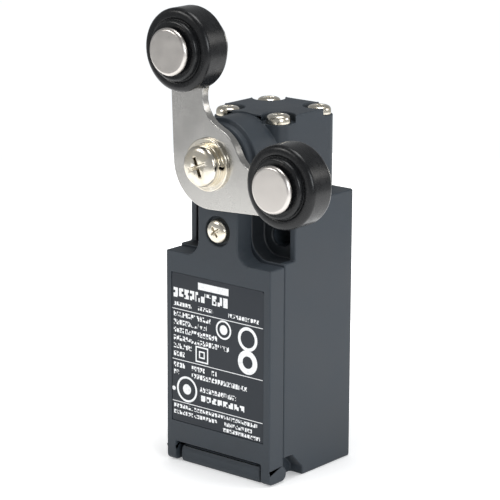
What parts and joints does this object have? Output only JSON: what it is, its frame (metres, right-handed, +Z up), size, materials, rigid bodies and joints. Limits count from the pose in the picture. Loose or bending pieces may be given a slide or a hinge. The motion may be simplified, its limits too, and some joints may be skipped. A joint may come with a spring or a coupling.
{
  "type": "limit switch",
  "caption": "Plastic-bodied limit switch with a fork lever carrying rollers, a square head, a hinged front cover and a threaded cable entry in its base.",
  "frame": {"origin": "on the back mounting face, midway between the two mounting slots", "axes": "+Y out of the back mounting face, +Z up along the body towards the head, +X to the right of someone facing the cover"},
  "size_m": [0.0496, 0.043, 0.1057],
  "materials": {
    "shell": "fine textured charcoal moulding",
    "label": "smooth dark label with pale print",
    "seal": "dull black rubber",
    "lever": "bright rolled stainless",
    "pin": "satin turned steel",
    "fastener": "bright zinc",
    "roller": "semi-gloss black resin",
    "steel": "turned steel",
    "bush": "sintered bronze",
    "terminal": "plated brass strip",
    "contact": "silver alloy",
    "block": "grey insulating moulding",
    "carrier": "natural resin"
  },
  "bodies": {
    "housing": {"case": "shell", "head_housing": "shell", "head_gasket": "seal", "head_screw_front_left": "fastener", "head_screw_rear_left": "fastener", "head_screw_front_right": "fastener", "head_screw_rear_right": "fastener", "shaft_seal": "seal", "shaft_bush": "bush", "return_spring": "steel", "lock_plunger": "steel", "lock_spring": "steel", "switch_base": "block", "switch_lid": "block", "block_screw_left": "fastener", "block_screw_right": "fastener", "terminal_nc_left": "terminal", "clamp_plate_nc_left": "fastener", "terminal_screw_nc_left": "fastener", "terminal_nc_right": "terminal", "clamp_plate_nc_right": "fastener", "terminal_screw_nc_right": "fastener", "terminal_no_left": "terminal", "clamp_plate_no_left": "fastener", "terminal_screw_no_left": "fastener", "terminal_no_right": "terminal", "clamp_plate_no_right": "fastener", "terminal_screw_no_right": "fastener", "carrier_spring": "steel"},
    "cover": {"cover": "shell", "cover_gasket": "seal", "cover_screw": "fastener", "rating_label": "label"},
    "lever": {"fork_lever": "lever", "lever_washer": "fastener", "lever_spring_washer": "fastener", "lever_screw": "fastener", "lever_shaft": "steel", "cam": "steel", "roller_pin_upper": "pin", "roller_pin_side": "pin"},
    "roller_upper": {"roller_upper": "roller"},
    "roller_side": {"roller_side": "roller"},
    "plunger": {"head_plunger": "steel"},
    "carrier": {"contact_carrier": "carrier", "bridge_nc": "contact", "bridge_no": "contact", "bridge_spring_nc": "steel", "bridge_spring_no": "steel"}
  },
  "joints": [
    {"name": "lever_swing", "type": "hinge", "parent": "housing", "child": "lever", "pos_m": [0, -0.015, 0.01662], "axis": [0, -1, 0], "range_deg": [0, 84.5]},
    {"name": "roller_upper_spin", "type": "hinge", "parent": "lever", "child": "roller_upper", "pos_m": [-0.00256, -0.0371, 0.04209], "axis": [0, -1, 0], "continuous": true},
    {"name": "roller_side_spin", "type": "hinge", "parent": "lever", "child": "roller_side", "pos_m": [0.0256, -0.0371, 0.01651], "axis": [0, -1, 0], "continuous": true},
    {"name": "plunger_slide", "type": "slide", "parent": "housing", "child": "plunger", "axis": [0, 0, 1], "range_m": [-0.002, 0], "deforming": ["return_spring"]},
    {"name": "carrier_slide", "type": "slide", "parent": "housing", "child": "carrier", "axis": [0, 0, 1], "range_m": [-0.002, 0], "deforming": ["carrier_spring"]},
    {"name": "cover_hinge", "type": "hinge", "parent": "housing", "child": "cover", "pos_m": [0, -0.025, -0.0526], "axis": [1, 0, 0], "range_deg": [0, 90]}
  ],
  "couplings": [
    {"joint": "plunger_slide", "follows": "lever_swing", "m_per_rad": -0.001356},
    {"joint": "carrier_slide", "follows": "lever_swing", "m_per_rad": -0.001356}
  ]
}
